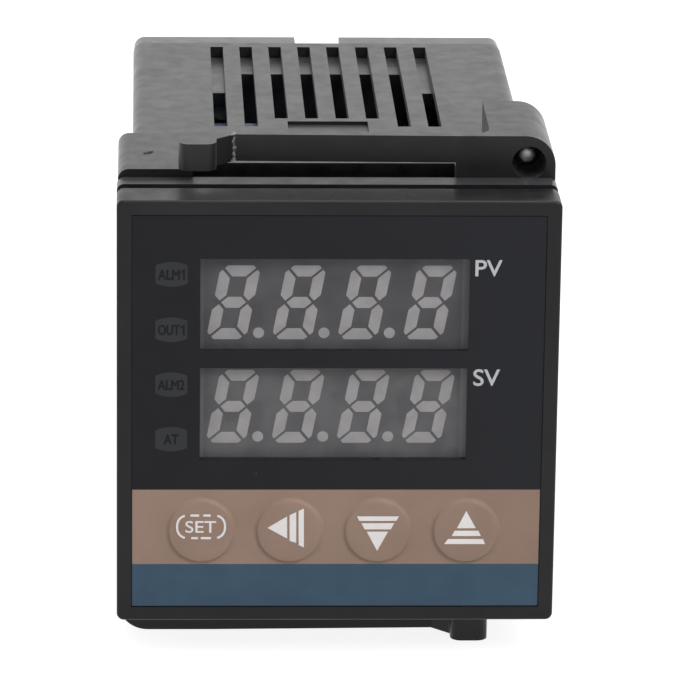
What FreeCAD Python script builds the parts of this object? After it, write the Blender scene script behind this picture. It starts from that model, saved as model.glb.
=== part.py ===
import FreeCAD, Part
import math
import os
import re
import Sketcher

# A panel-mounted PID temperature controller in the 48 mm square size.
# Millimetres. +X is right seen from the front, +Y runs back into the panel, +Z is up.
# The origin is on the case's axis, in the plane of the panel's front skin, which is the rear
# face of the case's flange.

SIZES = (
    # the square front and what stands ahead of the panel
    ("face_size", 48.0),
    ("face_round", 0.8),
    ("bezel_depth", 5.0),
    ("bezel_round", 0.35),
    ("seam_width", 1.6),
    ("seam_inset", 1.3),
    ("flange_depth", 2.9),
    ("rim_width", 1.6),
    ("film_recess", 0.1),
    ("film_thickness", 0.25),
    ("film_gap", 0.1),
    ("front_wall", 1.0),
    ("collar_gap", 0.3),
    # the case and the openings in it
    ("flange_step", 1.7),
    ("case_length", 66.3),
    ("case_wall", 1.2),
    ("case_round", 1.3),
    ("vent_count", 8),
    ("vent_pitch", 3.5),
    ("vent_width", 1.52),
    ("vent_rear_land", 1.9),
    ("vent_length", 36.8),
    ("vent_step", 3.5),
    ("track_width", 9.2),
    ("track_depth", 0.4),
    ("track_start", 1.0),
    ("track_length", 28.8),
    # the four keys
    ("key_count", 4),
    ("key_pitch", 9.67),
    ("key_shift", -0.27),
    ("key_rise", 10.62),
    ("dome_radius", 3.8),
    ("dome_top_radius", 3.1),
    ("dome_height", 0.45),
    ("plunger_radius", 1.75),
    ("plunger_seat", 1.0),
    ("key_travel", 0.35),
    ("key_gap", 0.05),
    ("key_hole_gap", 0.3),
    ("switch_size", 6.0),
    ("switch_height", 3.5),
    # the two displays and the four indicator lamps
    ("window_width", 30.0),
    ("window_height", 10.7),
    ("window_side", 17.68),
    ("window_drop", 11.7),
    ("window_pitch", 12.42),
    ("display_width", 30.6),
    ("display_height", 11.7),
    ("display_depth", 5.2),
    ("display_pitch", 11.85),
    ("display_drop", 11.8),
    ("digit_count", 4),
    ("digit_pitch", 7.1),
    ("digit_height", 8.35),
    ("digit_shift", 0.3),
    ("digit_slant", 10.8),
    ("bar_spacing", 3.1),
    ("bar_width", 1.25),
    ("bar_gap", 0.2),
    ("bar_chamfer", 0.3),
    ("bar_depth", 0.5),
    ("point_radius", 0.6),
    ("point_side", 2.73),
    ("point_drop", 3.45),
    ("lamp_count", 4),
    ("lamp_side", 5.92),
    ("lamp_drop", 8.28),
    ("lamp_pitch", 6.24),
    ("lamp_window_width", 3.45),
    ("lamp_window_height", 2.8),
    ("lamp_gap", 0.2),
    # the boards
    ("board_thickness", 1.6),
    ("board_gap", 0.2),
    ("board_seat", 0.6),
    ("side_board_place", 15.4),
    ("side_board_rear_gap", 0.8),
    ("tongue_height", 12.0),
    ("tongue_thickness", 1.1),
    ("tongue_length", 9.0),
    ("nib_reach", 0.9),
    ("nib_length", 1.2),
    # what the side boards carry
    ("core_length", 20.0),
    ("core_width", 12.6),
    ("core_height", 16.0),
    ("core_leg", 3.4),
    ("core_place", 9.0),
    ("core_drop", 9.8),
    ("coil_wall", 2.0),
    ("coil_gap", 0.1),
    ("relay_length", 18.6),
    ("relay_width", 14.8),
    ("relay_height", 15.4),
    ("relay_round", 0.5),
    ("output_relay_place", 24.0),
    ("output_relay_rise", 11.0),
    ("alarm_relay_place", 7.1),
    ("alarm_relay_drop", 9.0),
    ("capacitor_radius", 5.0),
    ("capacitor_length", 12.5),
    ("capacitor_place", 14.0),
    ("capacitor_rise", 10.5),
    ("chip_size", 10.0),
    ("chip_height", 2.0),
    ("chip_place", 12.0),
    ("chip_rise", 6.0),
    ("header_height", 30.0),
    ("header_section", 2.5),
    # the terminal block that closes the rear
    ("block_gap", 0.15),
    ("block_depth", 9.8),
    ("block_lip", 3.4),
    ("block_lip_inset", 0.1),
    ("shelf_thickness", 1.6),
    ("shelf_reach", 8.9),
    ("shelf_inner", 10.6),
    ("mid_slot_width", 5.4),
    ("mid_slot_height", 30.4),
    ("lip_notch_depth", 1.4),
    ("terminal_rows", 5),
    ("terminal_pitch", 7.7),
    ("terminal_side", 11.6),
    ("pocket_width", 12.0),
    ("pocket_height", 6.4),
    ("pocket_depth", 8.0),
    ("contact_thickness", 0.8),
    ("contact_gap", 0.2),
    ("terminal_fit", 0.05),
    ("blade_width", 2.6),
    ("blade_reach", 5.0),
    ("clamp_size", 5.8),
    ("clamp_thickness", 1.0),
    ("terminal_screw_radius", 1.5),
    ("terminal_head_radius", 2.6),
    ("terminal_head_height", 1.9),
    ("terminal_screw_length", 2.6),
    ("terminal_point", 0.2),
    # the mounting bracket and its two jack screws
    ("bracket_gap", 0.15),
    ("bracket_clearance", 0.2),
    ("bracket_depth", 15.0),
    ("bracket_inset", 0.1),
    ("bracket_bar", 2.35),
    ("bracket_round", 1.2),
    ("pawl_gap", 0.1),
    ("pawl_side_gap", 0.2),
    ("pawl_length", 2.0),
    ("pawl_place", 11.5),
    ("pawl_root", 0.25),
    ("arm_gap", 0.8),
    ("arm_height", 3.0),
    ("arm_thickness", 1.25),
    ("arm_lean", 0.5),
    ("root_width", 3.75),
    ("recess_depth", 2.6),
    ("hook_start", 11.2),
    ("hook_neck", 13.2),
    ("hook_valley", 14.75),
    ("hook_crest", 15.7),
    ("hook_end", 17.3),
    ("hook_reach", 3.7),
    ("hook_neck_front", 1.4),
    ("hook_neck_rear", 0.5),
    ("hook_valley_rear", 1.1),
    ("hook_crest_rear", 0.9),
    ("hook_round", 1.2),
    ("hook_bend", 0.45),
    ("ear_width", 7.15),
    ("ear_round", 3.3),
    ("ear_root_round", 1.7),
    ("jack_side", 2.9),
    ("jack_rise", 0.75),
    ("jack_radius", 1.5),
    ("jack_fit", 0.05),
    ("jack_tip_radius", 0.85),
    ("jack_recess", 3.6),
    ("jack_length", 16.0),
    ("jack_mouth_radius", 1.87),
    ("jack_mouth_depth", 5.0),
    ("head_top_share", 0.75),
    ("cross_width", 0.7),
    ("cross_span", 0.72),
    ("cross_depth", 1.2),
)

# Places worked out from the sizes, as expressions. Y places run from front to back.
CASE_SIZE = "(face_size - 2 * flange_step)"
BRACKET_WIDTH = "(face_size - 2 * bracket_inset)"
FACE = "(-(bezel_depth + seam_width + flange_depth))"
BEZEL_REAR = f"({FACE} + bezel_depth)"
FLANGE_FRONT = "(-flange_depth)"
FILM_FRONT = f"({FACE} + film_recess)"
FILM_REAR = f"({FILM_FRONT} + film_thickness)"
WALL_REAR = f"({FILM_REAR} + front_wall)"
BOARD_FRONT = FLANGE_FRONT
BOARD_REAR = f"({BOARD_FRONT} + board_thickness)"
DISPLAY_FRONT = f"({BOARD_FRONT} - display_depth)"
SWITCH_FRONT = f"({BOARD_FRONT} - switch_height)"
PLUNGER_FRONT = f"({FILM_REAR} - dome_height + key_gap)"
PLUNGER_REAR = f"({SWITCH_FRONT} + plunger_seat)"
CAVITY = f"({CASE_SIZE} - 2 * case_wall)"
COLLAR = "(face_size - 2 * seam_inset)"
KEY_Z = "(key_rise - face_size / 2)"
LAMP_X = "(lamp_side - face_size / 2)"
LAMP_Z = "(face_size / 2 - lamp_drop)"
WINDOW_X = f"({LAMP_X} + window_side)"
DISPLAY_Z = "(face_size / 2 - display_drop)"
BOARD_WIDTH = f"({CAVITY} - 2 * board_gap - 2 * tongue_thickness - 2 * board_gap)"
BOARD_HEIGHT = f"({CAVITY} - 2 * collar_gap)"
COLLAR_OPENING = f"({BOARD_HEIGHT} - 2 * board_seat)"
TONGUE_OUTER = f"({CAVITY} / 2 - board_gap)"
BLOCK_FRONT = "(case_length - block_depth)"
BLOCK_REAR = "(case_length + block_lip)"
BLOCK_SIZE = f"({CAVITY} - 2 * block_gap)"
SHELF_INSIDE = f"({BLOCK_SIZE} / 2 - shelf_thickness)"
SIDE_BOARD_HEIGHT = f"(2 * {SHELF_INSIDE} - 2 * board_gap)"
SIDE_BOARD_REAR = f"({BLOCK_FRONT} - side_board_rear_gap)"
POCKET_FLOOR = f"({BLOCK_REAR} - pocket_depth)"
CONTACT_REAR = f"({POCKET_FLOOR} + contact_thickness)"
CLAMP_REAR = f"({CONTACT_REAR} + clamp_thickness)"
BLADE_SIDE = "(side_board_place - contact_thickness / 2 - contact_gap)"
BRACKET_FRONT = "bracket_gap"
BRACKET_REAR = "(bracket_gap + bracket_depth)"
BRACKET_OPENING = f"({CASE_SIZE} + 2 * bracket_clearance)"
BAR_TOP = f"({BRACKET_OPENING} / 2 + bracket_bar)"
ARM_BOTTOM = f"({BAR_TOP} + arm_gap)"
ARM_TOP = f"({ARM_BOTTOM} + arm_height)"
EAR_START = f"({BRACKET_WIDTH} / 2 - ear_width)"
ROOT_START = f"({EAR_START} - root_width)"
JACK_X = f"({BRACKET_WIDTH} / 2 - jack_side)"
JACK_Z = f"({BAR_TOP} + jack_rise)"
ARM_REAR = f"({BRACKET_FRONT} + arm_thickness)"
JACK_TIP = f"({BRACKET_FRONT} + jack_recess)"
JACK_REAR = f"({JACK_TIP} + jack_length)"
TERMINAL_HEAD = ("terminal_head_radius", "terminal_head_height")

doc = FreeCAD.newDocument("TemperatureController")
sheet = doc.addObject("Spreadsheet::Sheet", "Sizes")
for row, (alias, number) in enumerate(SIZES, 1):
    sheet.set(f"A{row}", alias)
    sheet.set(f"B{row}", str(number))
    sheet.setAlias(f"B{row}", alias)
doc.recompute()
ALIASES = {alias for alias, number in SIZES}
subparts = []


def size(alias):
    """The number that the sheet holds under this alias."""
    return float(sheet.get(alias))


def bound(text):
    """An expression with each alias led by the sheet's name."""
    return re.sub(
        r"[a-z][a-z_]+", lambda m: f"Sizes.{m[0]}" if m[0] in ALIASES else m[0], text
    )


def number(text):
    """The number that an expression in the sheet's aliases comes to."""
    return float(sheet.evalExpression(text))


def bind(thing, **expressions):
    """Bind properties of an object to expressions in the sheet's aliases."""
    for name, text in expressions.items():
        thing.setExpression(name, bound(text))
    return thing


def place(thing, x="0", y="0", z="0"):
    """Bind an object's place."""
    for axis, text in zip("xyz", (x, y, z)):
        thing.setExpression(f"Placement.Base.{axis}", bound(text))
    return thing


def keep(thing, label):
    """List an object as a sub-part of its own, under the name of its file."""
    thing.Label = label
    subparts.append(thing)
    return thing


# Part primitives. Boxes are given by their centre in X and Z, and by their front in Y.


def box(name, width, depth, height, x="0", front="0", z="0"):
    thing = doc.addObject("Part::Box", name)
    bind(thing, Length=width, Width=depth, Height=height)
    return place(thing, f"{x} - ({width}) / 2", front, f"{z} - ({height}) / 2")


def rod(name, radius, length, x="0", front="0", z="0"):
    """A cylinder along +Y from its front end."""
    thing = doc.addObject("Part::Cylinder", name)
    thing.Placement.Rotation = FreeCAD.Rotation(FreeCAD.Vector(1, 0, 0), -90)
    bind(thing, Radius=radius, Height=length)
    return place(thing, x, front, z)


def dome(name, base_radius, top_radius, height, x, base, z):
    """A cone stump that rises towards the front, along -Y, from its base."""
    thing = doc.addObject("Part::Cone", name)
    thing.Placement.Rotation = FreeCAD.Rotation(FreeCAD.Vector(1, 0, 0), 90)
    bind(thing, Radius1=base_radius, Radius2=top_radius, Height=height)
    return place(thing, x, base, z)


def fuse(name, *things):
    joined = doc.addObject("Part::MultiFuse", name)
    joined.Shapes = list(things)
    joined.Refine = True
    return joined


def cut(name, base, *tools):
    """The base less its tools."""
    result = doc.addObject("Part::Cut", name)
    result.Base = base
    result.Tool = tools[0] if len(tools) == 1 else fuse(f"{name}_tools", *tools)
    return result


def rounded(name, base, radius, wanted):
    """The base with a round on each edge that the test picks."""
    doc.recompute()
    result = doc.addObject("Part::Fillet", name)
    result.Base = base
    picked = [i for i, edge in enumerate(base.Shape.Edges, 1) if wanted(edge)]
    result.Edges = [(i, size(radius), size(radius)) for i in picked]
    return result


def copies(label, base, places):
    """Separate equal solids of one base, one at each place."""
    doc.recompute()
    thing = doc.addObject("Part::Feature", label)
    thing.Shape = Part.makeCompound(
        [base.Shape.translated(FreeCAD.Vector(*at)) for at in places]
    )
    return keep(thing, label)


# Part Design bodies. Upright sketches lie across the Y axis and face the front, so a pad
# grows from its rear end forwards.


def new_body(label):
    return keep(doc.addObject("PartDesign::Body", label), label)


def origin_item(body, role):
    return next(item for item in body.Origin.OriginFeatures if item.Role == role)


def sketch(body, name, role, height):
    """A sketch on one of the body's own planes, this far along the plane's normal."""
    drawing = body.newObject("Sketcher::SketchObject", name)
    drawing.AttachmentSupport = [(origin_item(body, role), "")]
    drawing.MapMode = "FlatFace"
    drawing.setExpression("AttachmentOffset.Base.z", bound(height))
    return drawing


def upright(body, name, y):
    return sketch(body, name, "XZ_Plane", f"-({y})")


def level(body, name, z):
    return sketch(body, name, "XY_Plane", z)


def fix(drawing, curve, point, x, y):
    """Hold one point of a curve at two bound distances from the sketch's origin."""
    for kind, text in (("DistanceX", x), ("DistanceY", y)):
        at = drawing.addConstraint(Sketcher.Constraint(kind, -1, 1, curve, point, 1.0))
        drawing.setExpression(f"Constraints[{at}]", bound(text))


def polygon(drawing, points):
    """A closed outline of straight lines. Its corners are bound, so any start will do."""
    count = len(points)
    turns = [2 * math.pi * i / count for i in range(count)]
    start = [FreeCAD.Vector(math.cos(a), math.sin(a), 0) for a in turns]
    lines = [
        drawing.addGeometry(Part.LineSegment(start[i], start[(i + 1) % count]), False)
        for i in range(count)
    ]
    for i in range(count):
        drawing.addConstraint(
            Sketcher.Constraint("Coincident", lines[i], 2, lines[(i + 1) % count], 1)
        )
        fix(drawing, lines[i], 1, *points[i])


def rectangle(drawing, width, height, x="0", y="0"):
    left, right = f"{x} - ({width}) / 2", f"{x} + ({width}) / 2"
    low, high = f"{y} - ({height}) / 2", f"{y} + ({height}) / 2"
    polygon(drawing, [(left, low), (right, low), (right, high), (left, high)])


def circle(drawing, radius, x="0", y="0"):
    start = Part.Circle(FreeCAD.Vector(0, 0, 0), FreeCAD.Vector(0, 0, 1), 1)
    curve = drawing.addGeometry(start, False)
    at = drawing.addConstraint(Sketcher.Constraint("Radius", curve, 1.0))
    drawing.setExpression(f"Constraints[{at}]", bound(radius))
    fix(drawing, curve, 3, x, y)


def pad(body, name, drawing, length):
    feature = body.newObject("PartDesign::Pad", name)
    feature.Profile = drawing
    return bind(feature, Length=length)


def pocket(body, name, drawing, length=None, backwards=False):
    """A pocket of a bound length along the sketch's normal or against it, or right through."""
    doc.recompute()
    before = body.Shape.Volume
    feature = body.newObject("PartDesign::Pocket", name)
    feature.Profile = drawing
    if length:
        feature.Reversed = not backwards
        bind(feature, Length=length)
    else:
        feature.Type = "ThroughAll"
        feature.Midplane = True
    doc.recompute()
    if body.Shape.Volume >= before:
        raise RuntimeError(f"{name} cuts nothing")
    return feature


def soften(body, name, radius, wanted):
    """A round on each edge of the body so far that the test picks."""
    doc.recompute()
    base = body.Tip
    edges = [f"Edge{i}" for i, e in enumerate(base.Shape.Edges, 1) if wanted(e)]
    feature = body.newObject("PartDesign::Fillet", name)
    feature.Base = (base, edges)
    return bind(feature, Radius=radius)


def runs_along(edge, axis):
    """Whether a straight edge runs along this axis: 0 is X, 1 is Y and 2 is Z."""
    ends = [vertex.Point for vertex in edge.Vertexes]
    if len(ends) < 2 or edge.Curve.TypeId != "Part::GeomLine":
        return False
    gap = ends[1] - ends[0]
    return abs(gap[axis]) > 0.999 * edge.Length


def row_place(i, count, pitch):
    """The place of item i in a centred row, as an expression."""
    return f"({i} - ({count} - 1) / 2) * {pitch}"


def outer_corner(half, front, rear):
    """A test for the edges along Y at the corners of a square, between two Y places."""

    def test(edge):
        middle = edge.CenterOfMass
        on_corner = min(abs(middle.x), abs(middle.z)) > half - 0.01
        return runs_along(edge, 1) and on_corner and front < middle.y < rear

    return test


def build_case():
    """A square tube with a flange that stops against the panel, vents and two bracket tracks."""
    body = new_body("case")
    outline = upright(body, "case_outline", "case_length")
    rectangle(outline, CASE_SIZE, CASE_SIZE)
    pad(body, "case_sleeve", outline, "case_length")
    flange = upright(body, "flange_outline", "0")
    rectangle(flange, "face_size", "face_size")
    pad(body, "case_flange", flange, "flange_depth")
    half = number(CASE_SIZE) / 2
    soften(body, "case_edges", "case_round", outer_corner(half, 0, size("case_length")))
    half = size("face_size") / 2
    soften(body, "flange_edges", "face_round", outer_corner(half, -size("flange_depth"), 0))
    cavity = upright(body, "cavity_outline", "case_length")
    rectangle(cavity, CAVITY, CAVITY)
    pocket(body, "case_cavity", cavity)
    vents = level(body, "vent_outlines", "0")
    count = int(size("vent_count"))
    for i in range(count):
        is_short = abs(i - (count - 1) / 2) < count / 4
        length = "vent_length - vent_step" if is_short else "vent_length"
        middle = f"case_length - vent_rear_land - ({length}) / 2"
        x = row_place(i, "vent_count", "vent_pitch")
        rectangle(vents, "vent_width", length, x, middle)
    pocket(body, "case_vents", vents)
    middle = "track_start + track_length / 2"
    for name, side in (("top", "1"), ("bottom", "-1")):
        track = level(body, f"{name}_track_outline", f"{side} * {CASE_SIZE} / 2")
        rectangle(track, "track_width", "track_length", "0", middle)
        pocket(body, f"{name}_track", track, "track_depth", name == "top")


def key_x(i):
    place = row_place(i, "key_count", "key_pitch")
    return f"{place} + key_shift"


def build_bezel():
    """The front frame: a rim round the film, windows, a collar and two tongues that clip the
    display board."""
    body = new_body("front_bezel")
    frame = upright(body, "bezel_outline", BEZEL_REAR)
    rectangle(frame, "face_size", "face_size")
    pad(body, "bezel_frame", frame, "bezel_depth")
    half = size("face_size") / 2
    soften(body, "bezel_corners", "face_round", outer_corner(half, -99, 0))
    front = -(size("bezel_depth") + size("seam_width") + size("flange_depth"))
    soften(
        body,
        "bezel_front_edge",
        "bezel_round",
        lambda edge: abs(edge.BoundBox.YMax - front) < 0.01,
    )
    collar = upright(body, "collar_outline", FLANGE_FRONT)
    rectangle(collar, COLLAR, COLLAR)
    pad(body, "bezel_collar", collar, "seam_width")
    cavity = upright(body, "bezel_cavity_outline", FLANGE_FRONT)
    rectangle(cavity, COLLAR_OPENING, COLLAR_OPENING)
    pocket(body, "bezel_cavity", cavity, f"{FLANGE_FRONT} - {WALL_REAR}")
    recess = upright(body, "recess_outline", FACE)
    opening = "face_size - 2 * rim_width"
    rectangle(recess, opening, opening)
    pocket(body, "film_seat", recess, "film_recess + film_thickness", backwards=True)
    windows = upright(body, "window_outlines", FILM_REAR)
    for i in range(2):
        z = f"face_size / 2 - window_drop - {i} * window_pitch"
        rectangle(windows, "window_width", "window_height", WINDOW_X, z)
    for i in range(int(size("lamp_count"))):
        z = f"{LAMP_Z} - {i} * lamp_pitch"
        rectangle(windows, "lamp_window_width", "lamp_window_height", LAMP_X, z)
    for i in range(int(size("key_count"))):
        circle(windows, "plunger_radius + key_hole_gap", key_x(i), KEY_Z)
    pocket(body, "bezel_windows", windows)
    tongue_rear = f"({FLANGE_FRONT} + tongue_length)"
    tongue = upright(body, "tongue_outline", tongue_rear)
    nib = upright(body, "nib_outline", f"{BOARD_REAR} + key_gap + nib_length")
    for side in ("-1", "1"):
        x = f"{side} * ({TONGUE_OUTER} - tongue_thickness / 2)"
        rectangle(tongue, "tongue_thickness", "tongue_height", x)
        x = f"{side} * ({TONGUE_OUTER} - tongue_thickness - nib_reach / 2)"
        rectangle(nib, "nib_reach", "tongue_height", x)
    pad(body, "bezel_tongues", tongue, "tongue_length + seam_width")
    pad(body, "tongue_nibs", nib, "nib_length")


def build_film():
    """The label film with its four embossed domes, each hollow behind."""
    width = "face_size - 2 * rim_width - 2 * film_gap"
    sheet_box = box("film_sheet", width, "film_thickness", width, "0", FILM_FRONT)
    domes = []
    hollows = []
    for i in range(int(size("key_count"))):
        at = (key_x(i), FILM_FRONT, KEY_Z)
        radii = ("dome_radius", "dome_top_radius", "dome_height")
        domes.append(dome(f"dome_{i}", *radii, *at))
        at = (key_x(i), FILM_REAR, KEY_Z)
        radii = ("dome_radius - film_thickness", "dome_top_radius - film_thickness")
        hollows.append(dome(f"dome_hollow_{i}", *radii, "dome_height", *at))
    film = cut("film_body", fuse("film_and_domes", sheet_box, *domes), *hollows)
    keep(film, "front_overlay")


def build_keys():
    """Four key plungers, and the four switches that carry them."""
    for i, name in enumerate(("set", "shift", "down", "up")):
        length = f"{PLUNGER_REAR} - {PLUNGER_FRONT}"
        at = (key_x(i), PLUNGER_FRONT, KEY_Z)
        stem = rod(f"{name}_stem", "plunger_radius", length, *at)
        keep(stem, f"{name}_key_plunger")
    outer = box("switch_block", "switch_size", "switch_height", "switch_size", "0", SWITCH_FRONT)
    depth = "plunger_seat + 2 * key_travel"
    bore = rod("switch_bore", "plunger_radius + key_gap", depth, "0", SWITCH_FRONT)
    switch = cut("switch", outer, bore)
    count = int(size("key_count"))
    places = [(number(key_x(i)), 0, number(KEY_Z)) for i in range(count)]
    copies("key_switches", switch, places)


def segment_faces():
    """The seven bars of one slanted digit about its centre, as faces across the Y axis. Bars
    meet in mitres with a gap between them, and the outer corners are cut off."""
    half, gap, chamfer = size("bar_width") / 2, size("bar_gap"), size("bar_chamfer")
    wide, tall = size("bar_spacing") / 2, size("digit_height") / 2 - half
    lean = math.tan(math.radians(size("digit_slant")))
    top = [
        (wide - half - gap, tall - half),
        (wide + half - gap - chamfer, tall + half - chamfer),
        (wide + half - gap - 2 * chamfer, tall + half),
    ]
    side = [
        (wide, gap),
        (wide + half, half + gap),
        (wide + half, tall + half - gap - 2 * chamfer),
        (wide + half - chamfer, tall + half - gap - chamfer),
        (wide - half, tall - half - gap),
        (wide - half, half + gap),
    ]
    middle = [(wide - half - gap, -half), (wide - gap, 0), (wide - half - gap, half)]
    outlines = [middle + [(-x, z) for x, z in reversed(middle)]]
    top += [(-x, z) for x, z in reversed(top)]
    outlines += [[(x, way * z) for x, z in top] for way in (1, -1)]
    outlines += [[(hand * x, way * z) for x, z in side] for hand in (1, -1) for way in (1, -1)]
    faces = []
    for outline in outlines:
        corners = [FreeCAD.Vector(x + z * lean, 0, z) for x, z in outline]
        faces.append(Part.Face(Part.makePolygon(corners + corners[:1])))
    return faces


def build_displays():
    """Two four-digit displays: a block with its bars and points cast in flush. A point stands
    after each digit but the last."""
    count, pitch = int(size("digit_count")), size("digit_pitch")
    depth = FreeCAD.Vector(0, size("bar_depth"), 0)
    point = FreeCAD.Vector(size("point_side"), 0, -size("point_drop"))
    solids = []
    for i in range(count):
        shift = FreeCAD.Vector((i - (count - 1) / 2) * pitch, 0, 0)
        solids += [face.translated(shift).extrude(depth) for face in segment_faces()]
        if i < count - 1:
            radius = size("point_radius")
            solids.append(Part.makeCylinder(radius, depth.y, shift + point, depth))
    for i, name in enumerate(("pv", "sv")):
        z = f"{DISPLAY_Z} - {i} * display_pitch"
        bars = doc.addObject("Part::Feature", f"{name}_segments")
        bars.Shape = Part.makeCompound(solids)
        place(bars, f"{WINDOW_X} - digit_shift", DISPLAY_FRONT, z)
        keep(bars, f"{name}_segments")
        sizes = ("display_width", "display_depth", "display_height")
        block = box(f"{name}_block", *sizes, WINDOW_X, DISPLAY_FRONT, z)
        keep(cut(f"{name}_block_cut", block, bars), f"{name}_display")


def build_lamps():
    width = "lamp_window_width - 2 * lamp_gap"
    height = "lamp_window_height - 2 * lamp_gap"
    lamp = box("lamp", width, "display_depth", height, LAMP_X, DISPLAY_FRONT, LAMP_Z)
    count = int(size("lamp_count"))
    copies("indicator_leds", lamp, [(0, 0, -i * size("lamp_pitch")) for i in range(count)])


def build_boards():
    """The display board across the front, and two boards that run back from it."""
    sizes = (BOARD_WIDTH, "board_thickness", BOARD_HEIGHT)
    keep(box("display_board", *sizes, "0", BOARD_FRONT), "display_board")
    length = f"({SIDE_BOARD_REAR} - {BOARD_REAR})"
    middle = f"({BOARD_REAR} + {length} / 2)"
    for label, side in (("power_board", "-1"), ("control_board", "1")):
        body = new_body(label)
        inner = "side_board_place" if side == "1" else "-side_board_place - board_thickness"
        outline = sketch(body, f"{label}_outline", "YZ_Plane", inner)
        rectangle(outline, length, SIDE_BOARD_HEIGHT, middle)
        pad(body, f"{label}_pad", outline, "board_thickness")
    x = "(side_board_place - header_section / 2)"
    strip = ("header_section", "header_section", "header_height")
    left = box("left_header", *strip, f"-{x}", BOARD_REAR)
    right = box("right_header", *strip, x, BOARD_REAR)
    doc.recompute()
    headers = doc.addObject("Part::Compound", "board_headers")
    headers.Links = [left, right]
    keep(headers, "board_headers")


def build_transformer():
    """A laminated core with a window on each side of its middle leg, and the coil wound round
    that leg, which stands the core off the board."""
    x = "-(side_board_place - coil_wall - coil_gap - core_width / 2)"
    y = "(core_place + core_length / 2)"
    z = "-core_drop"
    sizes = ("core_width", "core_length", "core_height")
    outer = box("core_block", *sizes, x, "core_place", z)
    window = "(core_length / 2 - core_leg * 3 / 2)"
    tall = "(core_height - 2 * core_leg)"
    offset = f"(core_leg / 2 + {window} / 2)"
    openings = []
    for name, side in (("front", "-"), ("rear", "+")):
        front = f"{y} {side} {offset} - {window} / 2"
        sizes = ("core_width + 2", window, tall)
        openings.append(box(f"{name}_window", *sizes, x, front, z))
    keep(cut("core", outer, *openings), "transformer_core")
    depth = f"(core_leg + 2 * {window} - 2 * coil_gap)"
    height = f"{tall} - 2 * coil_gap"
    sizes = ("core_width + 2 * (coil_wall + coil_gap)", depth, height)
    coil = box("coil_block", *sizes, x, f"{y} - {depth} / 2", z)
    depth = "(core_leg + 2 * coil_gap)"
    sizes = ("core_width + 2 * coil_gap", depth, f"{tall} + 2")
    bore = box("coil_bore", *sizes, x, f"{y} - {depth} / 2", z)
    keep(cut("coil", coil, bore), "transformer_coil")


def build_components():
    """Relays, capacitor and controller chip on the inner faces of the side boards."""
    relay = ("relay_width", "relay_length", "relay_height")
    x = "(side_board_place - relay_width / 2)"
    alarm_front = f"({SIDE_BOARD_REAR} - alarm_relay_place - relay_length)"
    sites = (
        ("output_relay", f"-{x}", "output_relay_place", "output_relay_rise"),
        ("alarm_relay", x, alarm_front, "-alarm_relay_drop"),
    )
    for label, side, front, z in sites:
        block = box(f"{label}_block", *relay, side, front, z)
        keep(rounded(f"{label}_rounded", block, "relay_round", lambda e: runs_along(e, 0)), label)
    can = doc.addObject("Part::Cylinder", "capacitor_can")
    can.Placement.Rotation = FreeCAD.Rotation(FreeCAD.Vector(0, 1, 0), 90)
    bind(can, Radius="capacitor_radius", Height="capacitor_length")
    place(can, "side_board_place - capacitor_length", "capacitor_place", "capacitor_rise")
    keep(can, "smoothing_capacitor")
    x = "side_board_place - chip_height / 2"
    sizes = ("chip_height", "chip_size", "chip_size")
    keep(box("chip", *sizes, x, "chip_place", "-chip_rise"), "controller_chip")


def build_terminal_block():
    """The moulding that closes the rear: ten screw pockets, an open slot between the columns,
    and shelves that reach forward under the case's walls to guide the boards."""
    body = new_body("terminal_block")
    plug = upright(body, "plug_outline", "case_length")
    rectangle(plug, BLOCK_SIZE, BLOCK_SIZE)
    pad(body, "block_plug", plug, "block_depth")
    lip = upright(body, "lip_outline", BLOCK_REAR)
    width = f"({CASE_SIZE} - 2 * block_lip_inset)"
    rectangle(lip, width, width)
    pad(body, "block_lip_pad", lip, "block_lip")
    corners = outer_corner(number(width) / 2, size("case_length"), number(BLOCK_REAR))
    soften(body, "lip_edges", "case_round", corners)
    shelves = upright(body, "shelf_outlines", BLOCK_FRONT)
    for side in ("-1", "1"):
        x = f"{side} * (shelf_inner + {BLOCK_SIZE} / 2) / 2"
        for end in ("-1", "1"):
            z = f"{end} * ({BLOCK_SIZE} / 2 - shelf_thickness / 2)"
            rectangle(shelves, f"{BLOCK_SIZE} / 2 - shelf_inner", "shelf_thickness", x, z)
    pad(body, "guide_shelves", shelves, "shelf_reach")
    slot = upright(body, "mid_slot_outline", BLOCK_REAR)
    rectangle(slot, "mid_slot_width", "mid_slot_height")
    pocket(body, "mid_slot", slot)
    notch = upright(body, "lip_notch_outline", BLOCK_REAR)
    for end in ("-1", "1"):
        rectangle(notch, "mid_slot_width", "lip_notch_depth * 2", "0", f"{end} * {width} / 2")
    pocket(body, "lip_notches", notch, "block_lip", backwards=False)
    screw_holes = upright(body, "screw_hole_outlines", BLOCK_FRONT)
    pockets = upright(body, "pocket_outlines", BLOCK_REAR)
    blade_holes = upright(body, "blade_hole_outlines", POCKET_FLOOR)
    hole = ("contact_thickness + 2 * contact_gap", "blade_width + 2 * contact_gap")
    for i in range(int(size("terminal_rows"))):
        z = row_place(i, "terminal_rows", "terminal_pitch")
        for side in ("-1", "1"):
            x = f"{side} * terminal_side"
            rectangle(pockets, "pocket_width", "pocket_height", x, z)
            rectangle(blade_holes, *hole, f"{side} * {BLADE_SIDE}", z)
            circle(screw_holes, "terminal_screw_radius + contact_gap", x, z)
    pocket(body, "terminal_pockets", pockets, "pocket_depth")
    pocket(body, "blade_slots", blade_holes)
    pocket(body, "screw_clearances", screw_holes)


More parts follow.
